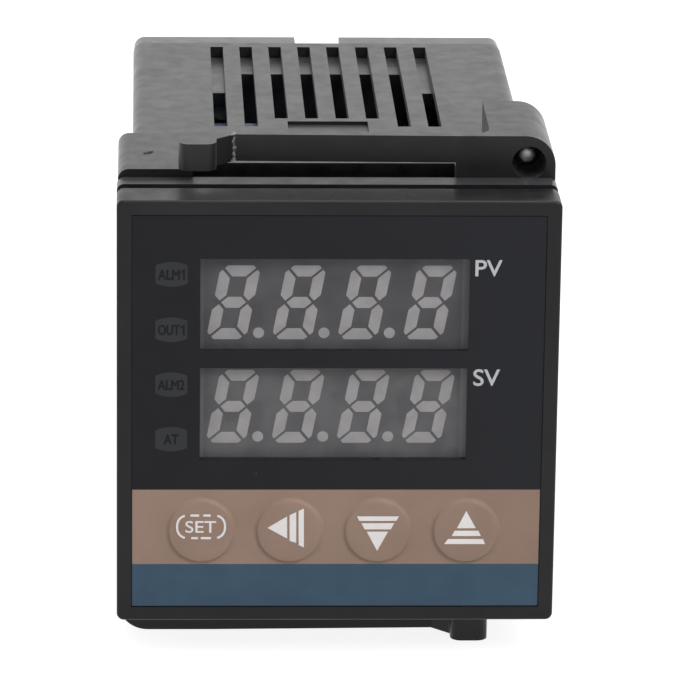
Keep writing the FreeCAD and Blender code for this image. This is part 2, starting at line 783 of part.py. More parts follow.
def build_terminals():
    """Ten contacts with a blade each, the clamp plates over them and their screws."""
    bore_radius = "terminal_screw_radius + terminal_fit"
    plate = (
        "pocket_width - 2 * contact_gap",
        "contact_thickness",
        "pocket_height - 2 * contact_gap",
    )
    blade_length = f"{POCKET_FLOOR} - {BLOCK_FRONT} + blade_reach"
    blade = ("contact_thickness", blade_length, "blade_width")
    contacts = []
    for name, side in (("left", "-"), ("right", "")):
        x = f"{side}terminal_side"
        flat = box(f"{name}_plate", *plate, x, POCKET_FLOOR)
        tail = box(f"{name}_blade", *blade, f"{side}{BLADE_SIDE}", f"{BLOCK_FRONT} - blade_reach")
        bore = rod(f"{name}_bore", bore_radius, "contact_thickness", x, POCKET_FLOOR)
        contacts.append(cut(f"{name}_contact", fuse(f"{name}_contact_solid", flat, tail), bore))
    doc.recompute()
    rows = int(size("terminal_rows"))
    heights = [(i - (rows - 1) / 2) * size("terminal_pitch") for i in range(rows)]
    solids = [c.Shape.translated(FreeCAD.Vector(0, 0, z)) for c in contacts for z in heights]
    both = doc.addObject("Part::Feature", "terminal_contacts")
    both.Shape = Part.makeCompound(solids)
    keep(both, "terminal_contacts")
    places = [(side * size("terminal_side"), 0, z) for side in (-1, 1) for z in heights]
    plate = box("clamp_plate", "clamp_size", "clamp_thickness", "clamp_size", "0", CONTACT_REAR)
    bore = rod("clamp_bore", bore_radius, "clamp_thickness", "0", CONTACT_REAR)
    copies("terminal_clamps", cut("clamp", plate, bore), places)
    ends = (f"{CLAMP_REAR} - terminal_screw_length", CLAMP_REAR)
    radii = ("terminal_screw_radius - terminal_point", "terminal_screw_radius")
    screw = screw_body("terminal_screw", *ends, *radii, *TERMINAL_HEAD)
    copies("terminal_screws", screw, places)


def turned_body(label, points, rear, radius):
    """A solid turned about the Y axis from places off and along it, with a cross in its rear."""
    body = doc.addObject("PartDesign::Body", label)
    profile = level(body, f"{label}_profile", "0")
    polygon(profile, points)
    turned = body.newObject("PartDesign::Revolution", f"{label}_turned")
    turned.Profile = profile
    turned.ReferenceAxis = (profile, ["V_Axis"])
    turned.Angle = 360
    cross = upright(body, f"{label}_cross", rear)
    polygon(cross, cross_points("cross_width / 2", f"{radius} * cross_span"))
    pocket(body, f"{label}_recess", cross, "cross_depth")
    return body


def screw_body(label, tip, shoulder, tip_radius, radius, head_radius, head_height):
    """A pan-head screw along the Y axis, its tip to the front and a cross in its head."""
    top = f"({shoulder} + {head_height})"
    points = [
        ("0", tip),
        (tip_radius, tip),
        (radius, f"{tip} + {radius} - ({tip_radius})"),
        (radius, shoulder),
        (head_radius, shoulder),
        (head_radius, f"{top} - {head_height} / 2"),
        (f"{head_radius} * head_top_share", top),
        ("0", top),
    ]
    return turned_body(label, points, top, head_radius)


def cross_points(near, far):
    """The twelve corners of an upright cross, a quarter turn at a time."""
    points = []
    for across, up in ((1, 1), (-1, 1), (-1, -1), (1, -1)):
        quarter = [(far, near), (near, near), (near, far)]
        if across * up < 0:
            quarter.reverse()
        points += [(f"{across} * {x}", f"{up} * {y}") for x, y in quarter]
    return points


def build_bracket():
    """The frame that slides up the case to the panel. It is the same turned half a turn about
    the Y axis: each end has an ear with a jack screw and a spring arm with a hook, and under the
    arm the front of the bar is cut away."""
    ring = doc.addObject("PartDesign::Body", "bracket_ring")
    outline = upright(ring, "ring_outline", BRACKET_REAR)
    rectangle(outline, BRACKET_WIDTH, f"2 * {BAR_TOP}")
    pad(ring, "ring_pad", outline, "bracket_depth")
    half = number(BRACKET_WIDTH) / 2
    rise = number(JACK_Z)
    soften(
        ring,
        "ring_corners",
        "bracket_round",
        lambda edge: runs_along(edge, 1) and abs(edge.CenterOfMass.x) > half - 0.01,
    )
    opening = upright(ring, "opening_outline", BRACKET_REAR)
    rectangle(opening, BRACKET_OPENING, BRACKET_OPENING)
    pocket(ring, "ring_opening", opening)

    arm = doc.addObject("PartDesign::Body", "bracket_arm")
    ear = upright(arm, "ear_outline", BRACKET_REAR)
    low, side = f"{BAR_TOP} - bracket_bar / 2", f"{BRACKET_WIDTH} / 2"
    polygon(ear, [(EAR_START, low), (side, low), (side, ARM_TOP), (EAR_START, ARM_TOP)])
    pad(arm, "ear_pad", ear, "bracket_depth")
    soften(
        arm,
        "ear_corner",
        "ear_round",
        lambda edge: runs_along(edge, 1)
        and edge.CenterOfMass.x > half - 0.01
        and edge.CenterOfMass.z > rise,
    )
    root = upright(arm, "root_outline", ARM_REAR)
    start, end = ROOT_START, EAR_START
    polygon(root, [(start, low), (end, low), (end, ARM_TOP), (start, ARM_TOP)])
    pad(arm, "root_pad", root, "arm_thickness")
    ribbon = level(arm, "ribbon_outline", ARM_BOTTOM)
    polygon(
        ribbon,
        [
            (EAR_START, BRACKET_FRONT),
            (EAR_START, ARM_REAR),
            (ROOT_START, ARM_REAR),
            ("-hook_start", f"{ARM_REAR} + arm_lean"),
            ("-hook_neck", f"{BRACKET_FRONT} + hook_neck_rear"),
            ("-hook_valley", f"{BRACKET_FRONT} - hook_valley_rear"),
            ("-hook_crest", f"{BRACKET_FRONT} + hook_crest_rear"),
            ("-hook_end", f"{BRACKET_FRONT} + hook_crest_rear"),
            ("-hook_end", f"{BRACKET_FRONT} - hook_reach"),
            ("-hook_neck", f"{BRACKET_FRONT} - hook_reach"),
            ("-hook_neck", f"{BRACKET_FRONT} - hook_neck_front"),
            ("-hook_start", f"{BRACKET_FRONT} + arm_lean"),
            (ROOT_START, BRACKET_FRONT),
        ],
    )
    pad(arm, "ribbon_pad", ribbon, "arm_height")
    inner = -size("hook_start")
    lobe = size("bracket_gap") - (size("hook_neck_front") + size("hook_reach")) / 2

    def on_hook(edge):
        middle = edge.CenterOfMass
        return runs_along(edge, 2) and middle.x < inner and middle.z > rise

    def at_inner_corner(edge):
        middle = edge.CenterOfMass
        at_ear = abs(middle.x - number(EAR_START)) < 0.01
        return at_ear and runs_along(edge, 2) and middle.y < size("bracket_depth") / 2

    soften(arm, "lobe_rounds", "hook_round", lambda e: on_hook(e) and e.CenterOfMass.y < lobe)
    soften(arm, "hook_bends", "hook_bend", lambda e: on_hook(e) and e.CenterOfMass.y > lobe)
    soften(arm, "ear_root_corner", "ear_root_round", at_inner_corner)

    other = doc.addObject("Part::Mirroring", "arm_mirrored")
    other.Source = arm
    other.Normal = FreeCAD.Vector(1, 0, 0)
    turned = doc.addObject("Part::Mirroring", "arm_turned")
    turned.Source = other
    turned.Normal = FreeCAD.Vector(0, 0, 1)

    tools = []
    pawls = []
    pawl_top = f"({BRACKET_OPENING} / 2 + pawl_root)"
    pawl_height = f"({pawl_top} - {CASE_SIZE} / 2 + track_depth - pawl_gap)"
    pawl = ("track_width - 2 * pawl_side_gap", "pawl_length", pawl_height)
    for name, side in (("upper", "1"), ("lower", "-1")):
        at = (f"{side} * {JACK_X}", BRACKET_FRONT, f"{side} * {JACK_Z}")
        tools.append(rod(f"{name}_jack_bore", "jack_radius + jack_fit", "bracket_depth", *at))
        tools.append(rod(f"{name}_jack_mouth", "jack_mouth_radius", "jack_mouth_depth", *at))
        x = f"{side} * ({ROOT_START} - hook_crest) / 2"
        z = f"{side} * ({ARM_BOTTOM} + {CASE_SIZE} / 2) / 2"
        recess = (
            f"{ROOT_START} + hook_crest",
            "recess_depth",
            f"{ARM_BOTTOM} - {CASE_SIZE} / 2",
        )
        tools.append(box(f"{name}_arm_recess", *recess, x, BRACKET_FRONT, z))
        z = f"{side} * ({pawl_top} - {pawl_height} / 2)"
        pawls.append(box(f"{name}_pawl", *pawl, "0", "pawl_place", z))
    solid = fuse("bracket_solid", ring, arm, turned, *pawls)
    keep(cut("bracket", solid, *tools), "mounting_bracket")


def build_jack_screws():
    """Two headless screws with a dog point, driven from the rear."""
    points = [
        ("0", JACK_TIP),
        ("jack_tip_radius", JACK_TIP),
        ("jack_radius", f"{JACK_TIP} + jack_radius - jack_tip_radius"),
        ("jack_radius", JACK_REAR),
        ("0", JACK_REAR),
    ]
    for label, side in (("upper_jack_screw", "1"), ("lower_jack_screw", "-1")):
        body = keep(turned_body(label, points, JACK_REAR, "jack_radius"), label)
        place(body, f"{side} * {JACK_X}", "0", f"{side} * {JACK_Z}")


build_case()
build_bezel()
build_film()
build_keys()
build_displays()
build_lamps()
build_boards()
build_transformer()
build_components()
build_terminal_block()
build_terminals()
build_bracket()
build_jack_screws()
doc.recompute()

for thing in doc.Objects:
    if "Invalid" in thing.State or "Error" in thing.State:
        raise RuntimeError(f"{thing.Label} failed: {thing.State}")
for part in subparts:
    if part.Shape.isNull() or not part.Shape.isValid():
        raise RuntimeError(f"{part.Label} has no valid shape")

os.makedirs("parts", exist_ok=True)
for part in subparts:
    part.Shape.exportStep(f"parts/{part.Label}.step")
    print(f"{part.Label}: {len(part.Shape.Solids)} solids, {part.Shape.Volume:.1f} mm3")
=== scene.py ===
import math

import bmesh
import bpy
from mathutils import Matrix, Vector


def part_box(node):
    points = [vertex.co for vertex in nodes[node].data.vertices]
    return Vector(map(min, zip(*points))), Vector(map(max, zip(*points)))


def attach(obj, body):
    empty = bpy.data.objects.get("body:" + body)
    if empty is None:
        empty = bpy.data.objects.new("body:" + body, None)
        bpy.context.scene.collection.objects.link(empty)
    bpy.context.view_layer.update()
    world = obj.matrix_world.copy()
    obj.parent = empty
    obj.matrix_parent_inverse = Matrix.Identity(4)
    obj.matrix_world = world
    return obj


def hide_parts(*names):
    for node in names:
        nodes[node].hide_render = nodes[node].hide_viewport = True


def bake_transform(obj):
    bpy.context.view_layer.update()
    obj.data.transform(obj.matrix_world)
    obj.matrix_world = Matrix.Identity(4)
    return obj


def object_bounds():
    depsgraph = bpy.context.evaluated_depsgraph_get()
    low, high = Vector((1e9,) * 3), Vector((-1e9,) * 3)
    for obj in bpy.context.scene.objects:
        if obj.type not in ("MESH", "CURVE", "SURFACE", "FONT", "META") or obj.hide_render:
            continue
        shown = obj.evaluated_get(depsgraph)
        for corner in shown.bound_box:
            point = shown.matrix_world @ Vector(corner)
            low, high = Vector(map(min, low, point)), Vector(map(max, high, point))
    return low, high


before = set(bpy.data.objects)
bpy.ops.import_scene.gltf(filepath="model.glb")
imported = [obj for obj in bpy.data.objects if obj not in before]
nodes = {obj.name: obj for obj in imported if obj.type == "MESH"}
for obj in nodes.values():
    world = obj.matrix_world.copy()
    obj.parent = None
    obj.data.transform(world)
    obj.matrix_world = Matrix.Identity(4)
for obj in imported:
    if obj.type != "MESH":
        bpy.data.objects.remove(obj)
cad_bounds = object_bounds()

# Lengths are in millimetres. Shader nodes, lights and the camera are in metres.
MM = 0.001
KEYS = ("set", "shift", "down", "up")


# ---------------------------------------------------------------- materials


def srgb(red, green, blue):
    """An 8-bit display colour as a linear one."""
    linear = []
    for value in (red, green, blue):
        share = value / 255
        linear.append(share / 12.92 if share <= 0.04045 else ((share + 0.055) / 1.055) ** 2.4)
    return (*linear, 1.0)


class Shader:
    """A Principled material whose colour, roughness and bump come from nodes in the part's frame."""

    def __init__(self, name, colour, rough, **sockets):
        self.material = bpy.data.materials.new(name)
        self.material.use_nodes = True
        self.material.diffuse_color = colour
        self.tree = self.material.node_tree
        self.base = self.tree.nodes["Principled BSDF"]
        self.place = self.node("ShaderNodeTexCoord").outputs["Object"]
        self.colour = None
        self.height = None
        self.base.inputs["Base Color"].default_value = colour
        self.base.inputs["Roughness"].default_value = rough
        self.plain, self.rough = colour, rough
        for socket, value in sockets.items():
            self.base.inputs[socket.replace("_", " ")].default_value = value

    def node(self, kind, **inputs):
        made = self.tree.nodes.new(kind)
        for key, value in inputs.items():
            self.feed(made.inputs[key.replace("_", " ")], value)
        return made

    def feed(self, socket, value):
        if isinstance(value, bpy.types.NodeSocket):
            self.tree.links.new(value, socket)
        else:
            socket.default_value = value

    def math(self, operation, first, second=0.0):
        made = self.tree.nodes.new("ShaderNodeMath")
        made.operation = operation
        self.feed(made.inputs[0], first)
        self.feed(made.inputs[1], second)
        return made.outputs[0]

    def ramp(self, value, low, high, start=0.0, end=1.0):
        """The value carried from one range to another, held at its ends."""
        made = self.node(
            "ShaderNodeMapRange", Value=value, From_Min=low, From_Max=high, To_Min=start, To_Max=end
        )
        return made.outputs["Result"]

    def stretched(self, x, y, z):
        made = self.tree.nodes.new("ShaderNodeMapping")
        self.feed(made.inputs["Vector"], self.place)
        made.inputs["Scale"].default_value = (x, y, z)
        return made.outputs["Vector"]

    def noise(self, size, detail=3.0, where=None):
        """Noise with features of about this many millimetres."""
        made = self.node(
            "ShaderNodeTexNoise", Vector=where or self.place, Scale=1 / (size * MM), Detail=detail
        )
        return made.outputs["Fac"]

    def axis(self, letter):
        split = self.node("ShaderNodeSeparateXYZ", Vector=self.place)
        return split.outputs[letter]

    def tint(self, factor, colour):
        """Lay another colour over what there is, by a factor."""
        mix = self.tree.nodes.new("ShaderNodeMix")
        mix.data_type = "RGBA"
        under = self.colour or self.plain
        self.feed(mix.inputs["Factor"], factor)
        self.feed(mix.inputs[6], under)
        self.feed(mix.inputs[7], colour)
        self.colour = mix.outputs[2]
        return self

    def mottle(self, size, colour, amount, low=0.4, high=0.65):
        return self.tint(self.ramp(self.noise(size), low, high, 0.0, amount), colour)

    def specks(self, spacing, radius, share, colour):
        """Sparse dots of dust: this share of the cells of a pattern holds one each."""
        made = self.node(
            "ShaderNodeTexVoronoi", Vector=self.place, Scale=1 / (spacing * MM), Randomness=1.0
        )
        chosen = self.node("ShaderNodeSeparateColor", Color=made.outputs["Color"])
        kept = self.math("LESS_THAN", chosen.outputs[0], share)
        near = self.math("LESS_THAN", made.outputs["Distance"], radius / spacing)
        return self.tint(self.math("MULTIPLY", kept, near), colour)

    def bump(self, value, depth):
        """Add relief: this value times a depth in millimetres."""
        relief = self.math("MULTIPLY", value, depth * MM)
        self.height = self.math("ADD", self.height, relief) if self.height else relief
        return self

    def grain(self, size, depth, rough_change=0.06):
        """Fine moulded texture in the relief and the gloss."""
        self.bump(self.noise(size, 2.0), depth)
        gloss = self.ramp(
            self.noise(size * 12), 0.3, 0.7, self.rough - rough_change, self.rough + rough_change
        )
        self.tree.links.new(gloss, self.base.inputs["Roughness"])
        return self

    def done(self):
        if self.colour:
            self.tree.links.new(self.colour, self.base.inputs["Base Color"])
        if self.height:
            bump = self.node("ShaderNodeBump", Height=self.height, Distance=1.0, Strength=1.0)
            self.tree.links.new(bump.outputs["Normal"], self.base.inputs["Normal"])
        return self.material


def black_plastic(name, shade, rough, grain, dust=0.05, **sockets):
    """Moulded black ABS: a fine grain, faint smears and a little dust."""
    made = Shader(name, srgb(shade, shade, shade + 2), rough, **sockets)
    made.mottle(9.0, srgb(shade + 9, shade + 9, shade + 11), 0.7)
    made.mottle(1.2, srgb(shade + 6, shade + 6, shade + 6), 0.5, 0.5, 0.7)
    made.specks(2.6, 0.05, dust, srgb(150, 150, 148))
    made.grain(0.16, grain)
    smear = made.noise(8.0, 3.0, made.stretched(0.8, 1.0, 1.0))
    return made.bump(smear, 0.006)


case_plastic = black_plastic(
    "case_plastic", 19, 0.34, 0.0006, Specular_IOR_Level=0.36, Sheen_Weight=0.10
).done()
bracket = black_plastic(
    "bracket_plastic", 13, 0.33, 0.0007, dust=0.07, Specular_IOR_Level=0.3, Sheen_Weight=0.08
)


def add_crease(made, x, half, low):
    """A ragged whitened line up the bend of the spring arm."""
    wander = made.ramp(made.noise(0.5), 0.3, 0.7, -half, half)
    offset = made.math("SUBTRACT", made.axis("X"), made.math("ADD", wander, x))
    near = made.math("LESS_THAN", made.math("ABSOLUTE", offset), half)
    above = made.math("GREATER_THAN", made.axis("Z"), low)
    patchy = made.ramp(made.noise(0.35), 0.42, 0.6, 0.1, 0.75)
    spot = made.math("MULTIPLY", made.math("MULTIPLY", near, above), patchy)
    made.tint(spot, srgb(150, 150, 152))


CREASE_X, CREASE_HALF, CREASE_LOW = -0.01125, 0.00018, 0.0256
add_crease(bracket, CREASE_X, CREASE_HALF, CREASE_LOW)
bracket_plastic = bracket.done()
bezel_plastic = black_plastic("bezel_plastic", 20, 0.33, 0.0005, Specular_IOR_Level=0.22).done()
terminal_plastic = black_plastic(
    "terminal_plastic", 30, 0.32, 0.0008, Specular_IOR_Level=0.6, Sheen_Weight=0.2
).done()


def film_print(name, shade, darker, dust=0.05):
    """Printed polyester film: a satin skin with a very fine tooth."""
    made = Shader(name, shade, 0.42, Specular_IOR_Level=0.16)
    made.mottle(5.0, darker, 0.55)
    made.tint(made.ramp(made.noise(0.5), 0.45, 0.75, 0.0, 0.25), darker)
    made.specks(2.2, 0.045, dust, srgb(140, 140, 140))
    made.grain(0.09, 0.0004, 0.04)
    return made


def black_print_with_painted_light():
    made = film_print("film_black", srgb(19, 18, 23), srgb(24, 24, 28))
    # Painted light: the black film is tinted lighter towards the right, as if lit from that side.
    across = made.ramp(made.axis("X"), -0.024, 0.020)
    made.tint(across, srgb(28, 29, 33))
    return made.done()


film_black = black_print_with_painted_light()
film_brown = film_print("film_brown", srgb(147, 124, 110), srgb(138, 115, 100), 0.02)
film_brown.tint(film_brown.ramp(film_brown.axis("X"), 0.0, 0.022, 0.0, 0.4), srgb(130, 109, 95))
film_brown = film_brown.done()
film_blue = film_print("film_blue", srgb(60, 82, 99), srgb(55, 76, 93), 0.02)
film_blue.mottle(2.5, srgb(50, 71, 88), 0.3)
film_blue = film_blue.done()
print_white = film_print("print_white", srgb(226, 223, 220), srgb(212, 208, 206), 0.0).done()
print_grey = film_print("print_grey", srgb(184, 185, 188), srgb(166, 167, 170), 0.0).done()
lamp_print = film_print("lamp_print", srgb(46, 48, 51), srgb(40, 42, 45), 0.0).done()
legend_print = film_print("legend_print", srgb(16, 16, 18), srgb(20, 20, 22), 0.0).done()

pane = Shader("film_window", srgb(40, 40, 43), 0.30, Specular_IOR_Level=0.5, Alpha=0.16)
pane.mottle(3.0, srgb(60, 60, 62), 0.5)
film_window = pane.grain(0.12, 0.0003, 0.05).done()


def resin(name, shade, edge, blotch):
    """The display's grey face: mottled, with a lighter strip down each side."""
    made = Shader(name, shade, 0.5, Specular_IOR_Level=0.3)
    made.mottle(3.4, blotch, 0.85, 0.42, 0.62)
    made.mottle(1.1, blotch, 0.35, 0.5, 0.7)
    x = made.axis("X")
    right = made.ramp(x, 0.01330, 0.01352)
    left = made.ramp(x, -0.01445, -0.01465, 0.0, 0.45)
    made.tint(right, edge)
    made.tint(left, edge)
    return made.grain(0.1, 0.0005).done()


display_pv = resin("display_pv", srgb(104, 103, 105), srgb(130, 130, 133), srgb(89, 89, 92))
display_sv = resin("display_sv", srgb(125, 124, 125), srgb(150, 150, 152), srgb(106, 106, 108))
segment_resin = Shader("segment_resin", srgb(202, 199, 199), 0.45, Specular_IOR_Level=0.3)
segment_resin.mottle(1.6, srgb(190, 186, 186), 0.8)
segment_resin = segment_resin.grain(0.12, 0.0006).done()
lamp_resin = Shader("lamp_resin", srgb(196, 188, 170), 0.35, Transmission_Weight=0.2)
lamp_resin = lamp_resin.mottle(1.0, srgb(180, 170, 150), 0.6).grain(0.1, 0.0004).done()


def simple(name, shade, other, rough, size, grain=0.0006, **sockets):
    made = Shader(name, srgb(*shade), rough, **sockets)
    made.mottle(size, srgb(*other), 0.8)
    return made.grain(0.15, grain)


board = simple("board_laminate", (34, 82, 52), (44, 98, 62), 0.5, 2.5)
tracks = board.math("SINE", board.math("MULTIPLY", board.axis("Z"), 2600.0))
board.tint(board.ramp(tracks, 0.75, 0.85, 0.0, 0.45), srgb(60, 120, 78))
board_laminate = board.done()
header_plastic = simple("header_plastic", (30, 30, 32), (38, 38, 40), 0.45, 2.0).done()
core = simple("core_steel", (120, 120, 124), (96, 94, 92), 0.45, 1.5, Metallic=0.9)
laminations = core.math("SINE", core.math("MULTIPLY", core.axis("X"), 12000.0))
core.tint(core.ramp(laminations, 0.2, 0.9, 0.0, 0.5), srgb(70, 69, 68))
core_steel = core.bump(laminations, 0.01).done()
coil = simple("coil_tape", (196, 160, 60), (178, 140, 46), 0.4, 2.0)
wraps = coil.math("SINE", coil.math("MULTIPLY", coil.axis("Z"), 5200.0))
coil_tape = coil.bump(wraps, 0.02).done()
relay_case = simple("relay_case", (28, 60, 110), (34, 70, 122), 0.35, 4.0).done()
sleeve = simple("capacitor_sleeve", (26, 30, 44), (36, 42, 60), 0.35, 3.0)
sleeve.tint(sleeve.ramp(sleeve.axis("Z"), 0.0132, 0.0134, 0.0, 0.7), srgb(168, 170, 178))
capacitor_sleeve = sleeve.done()
chip_body = simple("chip_body", (34, 34, 36), (42, 42, 44), 0.55, 1.0, 0.001).done()
switch_plastic = simple("switch_plastic", (36, 36, 38), (46, 46, 48), 0.5, 1.5).done()
key_plastic = simple("key_plastic", (190, 188, 182), (176, 174, 168), 0.45, 1.5).done()
brass = simple("contact_brass", (196, 168, 108), (164, 134, 80), 0.32, 1.8, Metallic=1.0)
contact_brass = brass.mottle(0.6, srgb(140, 112, 70), 0.4, 0.55, 0.7).done()
steel = simple("screw_steel", (196, 197, 200), (168, 169, 172), 0.28, 1.2, Metallic=1.0)
steel.mottle(0.5, srgb(140, 140, 142), 0.5, 0.55, 0.7)
turning = steel.noise(0.3, 2.0, steel.stretched(0.4, 6.0, 0.4))
screw_steel = steel.bump(turning, 0.004).done()
# Painted highlight: the dog points use a lighter, less metallic copy of the screw steel so that they
# look lit.
tip_steel_painted_highlight = simple("tip_steel_painted_highlight", (226, 226, 230), (206, 206, 210), 0.42, 0.6, Metallic=0.6).done()

FINISHES = {
    "case": case_plastic,
    "front_bezel": bezel_plastic,
    "mounting_bracket": bracket_plastic,
    "terminal_block": terminal_plastic,
    "front_overlay": film_black,
    "pv_display": display_pv,
    "sv_display": display_sv,
    "pv_segments": segment_resin,
    "sv_segments": segment_resin,
    "indicator_leds": lamp_resin,
    "display_board": board_laminate,
    "power_board": board_laminate,
    "control_board": board_laminate,
    "board_headers": header_plastic,
    "transformer_core": core_steel,
    "transformer_coil": coil_tape,
    "output_relay": relay_case,
    "alarm_relay": relay_case,
    "smoothing_capacitor": capacitor_sleeve,
    "controller_chip": chip_body,
    "key_switches": switch_plastic,
    "terminal_contacts": contact_brass,
    "terminal_clamps": screw_steel,
    "terminal_screws": screw_steel,
    "upper_jack_screw": screw_steel,
    "lower_jack_screw": screw_steel,
}
FINISHES.update({f"{key}_key_plunger": key_plastic for key in KEYS})


def finish_with(piece, *materials):
    piece.data.materials.clear()
    for material in materials:
        piece.data.materials.append(material)


for label, finish in FINISHES.items():
    finish_with(nodes[label], finish)


def ease_edges(label, width):
    """A small moulded radius on the sharp edges of a CAD node, as a modifier."""
    bevel = nodes[label].modifiers.new("eased_edges", "BEVEL")
    bevel.width = width * MM
    bevel.segments = 2
    bevel.limit_method = "ANGLE"
    bevel.angle_limit = math.radians(50)
    bevel.harden_normals = True


for label, width in (("case", 0.1), ("front_bezel", 0.08), ("mounting_bracket", 0.15)):
    ease_edges(label, width)


# ---------------------------------------------------------------- pieces


def piece_from(name, bm, body, slot, *materials):
    """A piece from a mesh in millimetres."""
    bmesh.ops.recalc_face_normals(bm, faces=bm.faces)
    mesh = bpy.data.meshes.new(name)
    bm.to_mesh(mesh)
    bm.free()
    mesh.transform(Matrix.Scale(MM, 4))
    piece = bpy.data.objects.new(name, mesh)
    bpy.context.scene.collection.objects.link(piece)
    finish_with(piece, *materials)
    if body:
        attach(piece, body)
    return piece


def add_box(bm, low, high):
    corners = [
        bm.verts.new((x, y, z))
        for x in (low[0], high[0])
        for y in (low[1], high[1])
        for z in (low[2], high[2])
    ]
    for face in ((0, 1, 3, 2), (4, 6, 7, 5), (0, 4, 5, 1), (2, 3, 7, 6), (0, 2, 6, 4), (1, 5, 7, 3)):
        bm.faces.new([corners[i] for i in face])


def add_plate(bm, outline, front, rear):
    """A flat plate across the Y axis, from an outline of X and Z places."""
    faces = []
    for y in (front, rear):
        faces.append([bm.verts.new((x, y, z)) for x, z in outline])
    bm.faces.new(faces[0])
    bm.faces.new(list(reversed(faces[1])))
    count = len(outline)
    for i in range(count):
        j = (i + 1) % count
        bm.faces.new((faces[0][i], faces[0][j], faces[1][j], faces[1][i]))


def centre_of(label):
    low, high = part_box(label)
    return (low + high) / 2 / MM


film_low, film_high = (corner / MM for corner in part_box("front_overlay"))
FILM_THICKNESS = 0.25
FILM_REAR = film_high.y
FILM_FRONT = FILM_REAR - FILM_THICKNESS
FILM_SIDE = film_high.x
# The domes stay this far inside the solid ones, which leaves room for their print.
DOME_INSET = 0.03
DOME_TOP = film_low.y
DOME_RISE = FILM_FRONT - DOME_TOP - DOME_INSET
DOME_SKIN = 0.2
# A dome's middle lies this far below its key's.
DOME_DROP = 0.18
PATCH_RADIUS = 3.87
KEY_CENTRES = {key: centre_of(f"{key}_key_plunger") for key in KEYS}
# Where the brown and the blue print begin, going down.
BROWN_TOP, BLUE_TOP = -8.80, -17.42
# The left, right, low and high of each window.
WINDOWS = ((-14.97, 14.13, 7.11, 17.49), (-14.95, 14.07, -5.37, 5.13))
PANE_THICKNESS = 0.1
# Cutters reach this far past the film.
CUT_PAST = 1
# Print stands this far off what carries it.
PRINT = 0.012


def cut_away(piece, cutters):
    """Take the cutters out of the piece and drop them."""
    for cutter in cutters:
        change = piece.modifiers.new("cut", "BOOLEAN")
        change.operation = "DIFFERENCE"
        change.solver = "EXACT"
        change.object = cutter
        bpy.context.view_layer.update()
        evaluated = piece.evaluated_get(bpy.context.evaluated_depsgraph_get())
        mesh = bpy.data.meshes.new_from_object(evaluated)
        piece.modifiers.clear()
        piece.data = mesh
        bpy.data.objects.remove(cutter)


def round_cutter(x, z, radius):
    bm = bmesh.new()
    count = 96
    turns = [math.tau * i / count for i in range(count)]
    outline = [(x + radius * math.cos(a), z + radius * math.sin(a)) for a in turns]
    add_plate(bm, outline, FILM_FRONT - CUT_PAST, FILM_REAR + CUT_PAST)
    return piece_from("cutter", bm, None, "label_film")


def window_cutter(left, right, low, high):
    bm = bmesh.new()
    add_box(bm, (left, FILM_FRONT - CUT_PAST, low), (right, FILM_REAR + CUT_PAST, high))
    return piece_from("cutter", bm, None, "label_film")


def build_film():
    """The label film: black, brown and blue print, open where the windows and the domes are."""
    bm = bmesh.new()
    add_box(bm, (-FILM_SIDE, FILM_FRONT, -FILM_SIDE), (FILM_SIDE, FILM_REAR, FILM_SIDE))
    for z in (BROWN_TOP, BLUE_TOP):
        everything = bm.verts[:] + bm.edges[:] + bm.faces[:]
        bmesh.ops.bisect_plane(bm, geom=everything, plane_co=(0, 0, z), plane_no=(0, 0, 1))
    film = piece_from("label_film", bm, None, "label_film", film_black, film_brown, film_blue)
    cutters = [window_cutter(*window) for window in WINDOWS]
    cutters += [round_cutter(at.x, at.z - DOME_DROP, PATCH_RADIUS) for at in KEY_CENTRES.values()]
    cut_away(film, cutters)
    finish_with(film, film_black, film_brown, film_blue)
    for face in film.data.polygons:
        z = face.center.z / MM
        face.material_index = 2 if z < BLUE_TOP else 1 if z < BROWN_TOP else 0
    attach(film, "instrument")
    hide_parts("front_overlay")


build_film()


def build_panes():
    """The clear, slightly smoked parts of the film over the two displays."""
    for name, (left, right, low, high) in zip(("pv_pane", "sv_pane"), WINDOWS):
        bm = bmesh.new()
        add_box(bm, (left, FILM_FRONT, low), (right, FILM_FRONT + PANE_THICKNESS, high))
        piece_from(name, bm, "instrument", "label_film", film_window)


build_panes()


def dome_profile():
    """Radius and rise of the embossing, from the rim to the middle."""
    rim, edge, shoulder, steps = 3.80, 3.38, 0.09, 10
    crown = ((2.8, 0.05), (2.0, 0.024), (1.0, 0.006), (0.0, 0.0))
    points = [(PATCH_RADIUS, 0.0)]
    for i in range(steps + 1):
        share = i / steps
        rise = share * share * (3 - 2 * share)
        points.append((rim + (edge - rim) * share, rise * (DOME_RISE - shoulder)))
    return points + [(radius, DOME_RISE - drop) for radius, drop in crown]


def build_domes():
    """Four embossed domes in the film."""
    turns = 72
    for key, at in KEY_CENTRES.items():
        bm = bmesh.new()
        skin = dome_profile()
        loop = [(r, FILM_FRONT - rise) for r, rise in skin]
        loop += [(r, FILM_FRONT - rise + DOME_SKIN) for r, rise in reversed(skin)]
        rings = []
        middle = at.z - DOME_DROP
        for r, y in loop:
            if r == 0:
                rings.append([bm.verts.new((at.x, y, middle))])
                continue
            spots = [math.tau * i / turns for i in range(turns)]
            rings.append(
                [bm.verts.new((at.x + r * math.cos(a), y, middle + r * math.sin(a))) for a in spots]
            )
        for first, second in zip(rings, rings[1:] + rings[:1]):
            for i in range(turns):
                j = (i + 1) % turns
                corners = [first[i % len(first)], first[j % len(first)]]
                corners += [second[j % len(second)], second[i % len(second)]]
                distinct = list(dict.fromkeys(corners))
                if len(distinct) > 2:
                    bm.faces.new(distinct)
        patch = piece_from(f"{key}_dome", bm, None, "label_film", film_brown)
        for face in patch.data.polygons:
            face.use_smooth = True
        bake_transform(patch)


build_domes()

PRINT_GAP = 0.004
DOME_PRINT = FILM_FRONT - DOME_RISE - PRINT_GAP
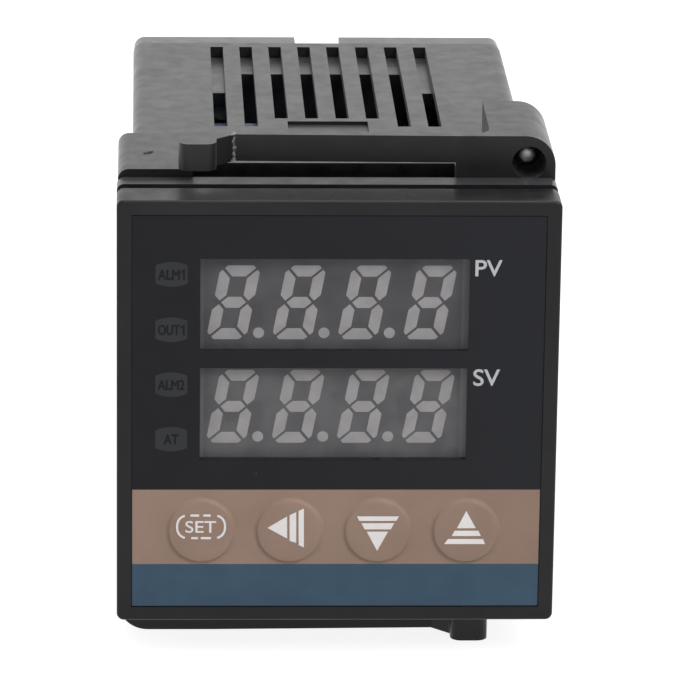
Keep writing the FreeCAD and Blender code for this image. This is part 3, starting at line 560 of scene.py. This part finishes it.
# What is printed on a key is measured from a point this far above the key's centre.
PRINT_RISE = 0.17
LEFT_ARROW = (
    ((-2.42, 0.13), (-0.27, 1.46), (-0.24, -1.10)),
    ((0.0, 1.60), (0.72, 1.96), (0.76, -1.62), (0.03, -1.36)),
    ((0.98, 2.10), (1.56, 2.38), (1.60, -2.14), (1.02, -1.86)),
)
DOWN_ARROW = (
    ((-2.30, 1.46), (2.30, 1.46), (2.03, 0.94), (-2.03, 0.94)),
    ((-1.80, 0.67), (1.80, 0.67), (1.44, -0.04), (-1.44, -0.04)),
    ((-1.20, -0.31), (1.14, -0.31), (-0.04, -2.54)),
)
UP_ARROW = (
    ((0.0, 2.10), (1.08, 0.09), (-0.98, 0.09)),
    ((1.38, -0.21), (1.66, -0.82), (-1.54, -0.82), (-1.24, -0.21)),
    ((1.90, -1.17), (2.14, -1.76), (-2.36, -1.76), (-1.95, -1.17)),
)


def build_arrows():
    for key, arrow in zip(KEYS[1:], (LEFT_ARROW, DOWN_ARROW, UP_ARROW)):
        at = KEY_CENTRES[key]
        bm = bmesh.new()
        for outline in arrow:
            placed = [(at.x + x, at.z + PRINT_RISE + z) for x, z in outline]
            add_plate(bm, placed, DOME_PRINT - PRINT, DOME_PRINT + PRINT)
        piece_from(f"{key}_arrow", bm, f"{key}_key", "label_film", print_white)


build_arrows()


def add_stroke(bm, points, width, front, rear):
    """A line of this width through X and Z points, as one plate."""
    left, right = [], []
    for i, (x, z) in enumerate(points):
        ahead = Vector(points[min(i + 1, len(points) - 1)])
        behind = Vector(points[max(i - 1, 0)])
        along = (ahead - behind).normalized()
        across = Vector((-along.y, along.x)) * width / 2
        left.append((x + across.x, z + across.y))
        right.append((x - across.x, z - across.y))
    add_plate(bm, left + right[::-1], front, rear)


def build_stadium():
    """The broken line round the word on the first key."""
    at = KEY_CENTRES["set"]
    half_width, half_height, middle = 2.62, 1.34, 0.26 + PRINT_RISE
    reach, steps, bend, stroke, inset = 72, 24, 0.86, 0.25, 0.03
    depth = (DOME_PRINT - PRINT, DOME_PRINT + PRINT)
    bm = bmesh.new()
    for side in (-1, 1):
        points = []
        for i in range(steps + 1):
            angle = math.radians(2 * reach * i / steps - reach)
            x = half_width - half_height + half_height * math.copysign(
                abs(math.cos(angle)) ** bend, math.cos(angle)
            )
            z = half_height * math.copysign(abs(math.sin(angle)) ** bend, math.sin(angle))
            points.append((at.x + side * x, at.z + middle + z))
        add_stroke(bm, points, stroke, *depth)
    upper = ((-1.17, -0.21), (0.24, 1.05))
    lower = ((-1.08, -0.32), (-0.02, 1.1))
    for height, dashes in ((half_height - inset, upper), (inset - half_height, lower)):
        for start, end in dashes:
            z = at.z + middle + height
            add_stroke(bm, [(at.x + start, z), (at.x + end, z)], stroke, *depth)
    piece_from("set_outline", bm, "set_key", "label_film", print_white)


build_stadium()


# The copies of a word lie this far apart, so that no two share a face.
COPY_STEP = 0.0007


def lettering(name, words, left, right, low, high, front, body, material, bold=0.0):
    """Printed words that fill a box of X and Z places, thickened by copies set a little apart."""
    curve = bpy.data.curves.new(f"{name}_curve", "FONT")
    curve.body = words
    source = bpy.data.objects.new(f"{name}_source", curve)
    bpy.context.scene.collection.objects.link(source)
    bpy.context.view_layer.update()
    evaluated = source.evaluated_get(bpy.context.evaluated_depsgraph_get())
    mesh = bpy.data.meshes.new_from_object(evaluated)
    bpy.data.objects.remove(source)
    xs = [v.co.x for v in mesh.vertices]
    ys = [v.co.y for v in mesh.vertices]
    across = (right - left - 2 * bold) / (max(xs) - min(xs))
    up = (high - low - 2 * bold) / (max(ys) - min(ys))
    bm = bmesh.new()
    shifts = ((0, 0), (-1, 0), (1, 0), (0, -1), (0, 1)) if bold else ((0, 0),)
    for i, (dx, dz) in enumerate(shifts):
        first = len(bm.verts)
        bm.from_mesh(mesh)
        bm.verts.ensure_lookup_table()
        for vertex in bm.verts[first:]:
            x = left + bold * (1 + dx) + (vertex.co.x - min(xs)) * across
            z = low + bold * (1 + dz) + (vertex.co.y - min(ys)) * up
            vertex.co = (x, front - i * COPY_STEP, z)
    grown = bmesh.ops.extrude_face_region(bm, geom=bm.faces[:])
    moved = [item for item in grown["geom"] if isinstance(item, bmesh.types.BMVert)]
    bmesh.ops.translate(bm, verts=moved, vec=(0, -PRINT, 0))
    piece_from(name, bm, body, "label_film", material)


# The left, right, low and high of each word. The first is measured from its key.
SET_PLACE = (-1.72, 1.66, -0.27, 1.11)
PV_PLACE = (14.70, 17.62, 15.55, 17.40)
SV_PLACE = (14.72, 17.62, 3.12, 5.04)
SET_BOLD, HEADING_BOLD = 0.016, 0.035


def build_words():
    """The word on the first key, and the one beside each display."""
    at = KEY_CENTRES["set"]
    left, right, low, high = SET_PLACE
    lettering(
        "set_word", "SET", at.x + left, at.x + right, at.z + low, at.z + high,
        DOME_PRINT, "set_key", print_white, SET_BOLD,
    )
    for name, word, place in (("pv_word", "PV", PV_PLACE), ("sv_word", "SV", SV_PLACE)):
        lettering(name, word, *place, FILM_FRONT, "instrument", print_grey, HEADING_BOLD)


build_words()


def barrel(x, z, width, height):
    """An upright-sided outline whose top and bottom bulge."""
    points = []
    steps = 14
    corner = 0.72
    for way in (1, -1):
        for i in range(steps + 1):
            share = way * (2 * i / steps - 1)
            bulge = corner + (1 - corner) * (1 - share * share)
            points.append((x + share * width / 2, z - way * bulge * height / 2))
    return points


def add_one(bm, x, low, high, front, rear):
    """The figure 1 with its flag."""
    half, flag = 0.11, 0.24
    outline = [(x - half, low), (x + half, low), (x + half, high), (x - 0.02, high)]
    outline += [(x - half - flag, high - 0.26), (x - half - flag, high - 0.44), (x - half, high - 0.3)]
    add_plate(bm, outline, front, rear)


# The middle of the first indicator window, the step down to the next, and their size.
LAMP_X, LAMP_TOP, LAMP_STEP, LAMP_WIDTH, LAMP_HEIGHT = -18.07, 15.73, 6.24, 3.46, 2.8
LEGEND_LOW, LEGEND_HIGH, LEGEND_BOLD = -0.62, 0.57, 0.045
ONE_X = 1.33
# Each legend's letters, how far they reach to the left and right, and whether a 1 is drawn after them.
LEGENDS = (
    ("ALM", 1.48, 0.92, True),
    ("OUT", 1.48, 0.92, True),
    ("ALM2", 1.48, 1.46, False),
    ("AT", 0.84, 0.84, False),
)


def build_indicators():
    """Four dim indicator windows in the film, each with its legend."""
    windows, ones = bmesh.new(), bmesh.new()
    front, rear = FILM_FRONT - PRINT * 1.5, FILM_FRONT
    for i, (word, before, after, one_follows) in enumerate(LEGENDS):
        x, z = LAMP_X, LAMP_TOP - LAMP_STEP * i
        low, high = z + LEGEND_LOW, z + LEGEND_HIGH
        outline = barrel(x, z, LAMP_WIDTH, LAMP_HEIGHT)
        add_plate(windows, outline, FILM_FRONT - PRINT / 2, FILM_FRONT + PRINT)
        lettering(
            f"legend_{word.lower()}", word, x - before, x + after, low, high,
            FILM_FRONT - PRINT / 2, "instrument", legend_print, LEGEND_BOLD,
        )
        if one_follows:
            add_one(ones, x + ONE_X, low, high, front, rear)
    piece_from("indicator_windows", windows, "instrument", "label_film", lamp_print)
    piece_from("legend_ones", ones, "instrument", "label_film", legend_print)


build_indicators()


# The middle of the gate mark, at the left end of the bracket's top bar.
GATE_PLACE = (-20.55, 7.0, 24.85)


def build_gate_mark():
    """The torn stub of the moulding gate on the bracket's top bar."""
    at_x, at_y, at_z = GATE_PLACE
    reach, rise, slant = 0.55, 0.16, 0.35
    bm = bmesh.new()
    bmesh.ops.create_icosphere(bm, subdivisions=3, radius=1.0)
    for vertex in bm.verts:
        x, y, z = vertex.co
        ragged = 1 + 0.25 * math.sin(9 * x + 4) * math.cos(7 * y + 2) + 0.12 * math.sin(17 * (x + y))
        across, along = reach * x * ragged, (reach * y + slant * x) * ragged
        vertex.co = (at_x + across, at_y + along, at_z + rise * z)
    mark = piece_from("gate_mark", bm, "bracket", "bracket_plastic", bracket_plastic)
    for face in mark.data.polygons:
        face.use_smooth = True


build_gate_mark()


def build_screw_tips():
    """The turned and rounded dog points of the two jack screws."""
    for name in ("upper_jack", "lower_jack"):
        low, high = (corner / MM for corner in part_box(f"{name}_screw"))
        x, z, front = (low.x + high.x) / 2, (low.z + high.z) / 2, low.y
        radius, rise, overlap, turns, steps = 0.85, 0.34, 0.02, 48, 8
        bm = bmesh.new()
        rings = []
        for i in range(steps):
            angle = math.pi / 2 * i / steps
            r, y = radius * math.cos(angle), front + overlap - rise * math.sin(angle)
            spots = [math.tau * k / turns for k in range(turns)]
            rings.append([bm.verts.new((x + r * math.cos(a), y, z + r * math.sin(a))) for a in spots])
        for first, second in zip(rings, rings[1:]):
            for k in range(turns):
                j = (k + 1) % turns
                bm.faces.new((first[k], first[j], second[j], second[k]))
        bm.faces.new(rings[-1])
        bm.faces.new(rings[0][::-1])
        tip = piece_from(f"{name}_tip", bm, name, "screw_steel", tip_steel_painted_highlight)
        for face in tip.data.polygons:
            face.use_smooth = len(face.vertices) == 4


build_screw_tips()


# ---------------------------------------------------------------- room, light and camera

FLOOR_REACH = 8000
FLOOR_HEIGHT = cad_bounds[0][2] - 0.00002


def background_rays(tree):
    """The rays that see the white background: the camera's own, and those in gloss and glass."""
    rays = tree.nodes.new("ShaderNodeLightPath")
    seen = rays.outputs["Is Camera Ray"]
    for kind in ("Is Glossy Ray", "Is Transmission Ray"):
        either = tree.nodes.new("ShaderNodeMath")
        either.operation = "MAXIMUM"
        tree.links.new(seen, either.inputs[0])
        tree.links.new(rays.outputs[kind], either.inputs[1])
        seen = either.outputs[0]
    return seen


def build_floor():
    """A white floor that keeps the object's shadow, and lights the object as a mid grey one."""
    bm = bmesh.new()
    bmesh.ops.create_grid(bm, x_segments=1, y_segments=1, size=FLOOR_REACH)
    mesh = bpy.data.meshes.new("floor")
    bm.to_mesh(mesh)
    bm.free()
    mesh.transform(Matrix.Scale(MM, 4))
    floor = bpy.data.objects.new("floor", mesh)
    floor.location.z = FLOOR_HEIGHT
    bpy.context.scene.collection.objects.link(floor)
    material = bpy.data.materials.new("floor_white")
    material.use_nodes = True
    tree = material.node_tree
    tree.nodes.clear()
    out = tree.nodes.new("ShaderNodeOutputMaterial")
    mix = tree.nodes.new("ShaderNodeMixShader")
    plain = tree.nodes.new("ShaderNodeBsdfDiffuse")
    plain.inputs["Color"].default_value = (0.5, 0.5, 0.5, 1)
    seen = tree.nodes.new("ShaderNodeAddShader")
    shaded = tree.nodes.new("ShaderNodeBsdfDiffuse")
    shaded.inputs["Color"].default_value = (0.24, 0.24, 0.24, 1)
    glow = tree.nodes.new("ShaderNodeEmission")
    glow.inputs["Strength"].default_value = 0.885
    link = tree.links.new
    link(shaded.outputs[0], seen.inputs[0])
    link(glow.outputs[0], seen.inputs[1])
    link(background_rays(tree), mix.inputs[0])
    link(plain.outputs[0], mix.inputs[1])
    link(seen.outputs[0], mix.inputs[2])
    link(mix.outputs[0], out.inputs["Surface"])
    mesh.materials.append(material)


build_floor()


def build_world():
    """A pale studio, brighter above and behind than in front. Camera, gloss and glass see white."""
    world = bpy.data.worlds.new("studio")
    bpy.context.scene.world = world
    world.use_nodes = True
    tree = world.node_tree
    tree.nodes.clear()
    link = tree.links.new
    out = tree.nodes.new("ShaderNodeOutputWorld")
    mix = tree.nodes.new("ShaderNodeMixShader")
    room = tree.nodes.new("ShaderNodeBackground")
    white = tree.nodes.new("ShaderNodeBackground")
    white.inputs["Strength"].default_value = 1.0
    white.inputs["Color"].default_value = (1, 1, 1, 1)
    way = tree.nodes.new("ShaderNodeTexCoord")
    dot = tree.nodes.new("ShaderNodeVectorMath")
    dot.operation = "DOT_PRODUCT"
    dot.inputs[1].default_value = (0.0, 0.85, 0.53)
    level = tree.nodes.new("ShaderNodeMapRange")
    for socket, value in (("From Min", -0.6), ("From Max", 0.95), ("To Min", 0.45), ("To Max", 1.45)):
        level.inputs[socket].default_value = value
    room.inputs["Color"].default_value = (0.975, 0.965, 1.0, 1)
    link(way.outputs["Generated"], dot.inputs[0])
    link(dot.outputs["Value"], level.inputs["Value"])
    link(level.outputs["Result"], room.inputs["Strength"])
    link(background_rays(tree), mix.inputs[0])
    link(room.outputs[0], mix.inputs[1])
    link(white.outputs[0], mix.inputs[2])
    link(mix.outputs[0], out.inputs["Surface"])


build_world()


def soft_box(name, place, size, power):
    """A square lamp that faces the object."""
    data = bpy.data.lights.new(name, "AREA")
    data.shape = "SQUARE"
    data.size = size
    data.energy = power
    lamp = bpy.data.objects.new(name, data)
    lamp.location = place
    lamp.rotation_euler = (-Vector(place)).to_track_quat("-Z", "Y").to_euler()
    bpy.context.scene.collection.objects.link(lamp)


soft_box("key_light", (0.62, -0.85, 0.95), 0.6, 9.5)
soft_box("top_light", (0.1, 0.2, 1.3), 0.9, 7.0)


# Fitted to the photograph: the camera's place, its angles down, to the right and of roll, and its lens.
CAMERA_PLACE = (-0.0214, -0.5420, 0.1759)
CAMERA_ANGLES = (17.45, 2.32, 0.75)
CAMERA_LENS = 273.2


def build_camera():
    """The camera stands a little left of the front and above it."""
    down, turn, roll = (math.radians(angle) for angle in CAMERA_ANGLES)
    ahead = Vector(
        (math.sin(turn) * math.cos(down), math.cos(turn) * math.cos(down), -math.sin(down))
    )
    level = Vector((math.cos(turn), -math.sin(turn), 0))
    up = level.cross(ahead)
    right = math.cos(roll) * level + math.sin(roll) * up
    top = -math.sin(roll) * level + math.cos(roll) * up
    data = bpy.data.cameras.new("camera")
    data.sensor_width = 36
    data.lens = CAMERA_LENS
    data.clip_start = 0.01
    camera = bpy.data.objects.new("camera", data)
    turned = Matrix((right, top, -ahead)).transposed().to_4x4()
    camera.matrix_world = Matrix.Translation(CAMERA_PLACE) @ turned
    bpy.context.scene.collection.objects.link(camera)
    bpy.context.scene.camera = camera


build_camera()
bpy.context.scene.view_settings.view_transform = "Standard"
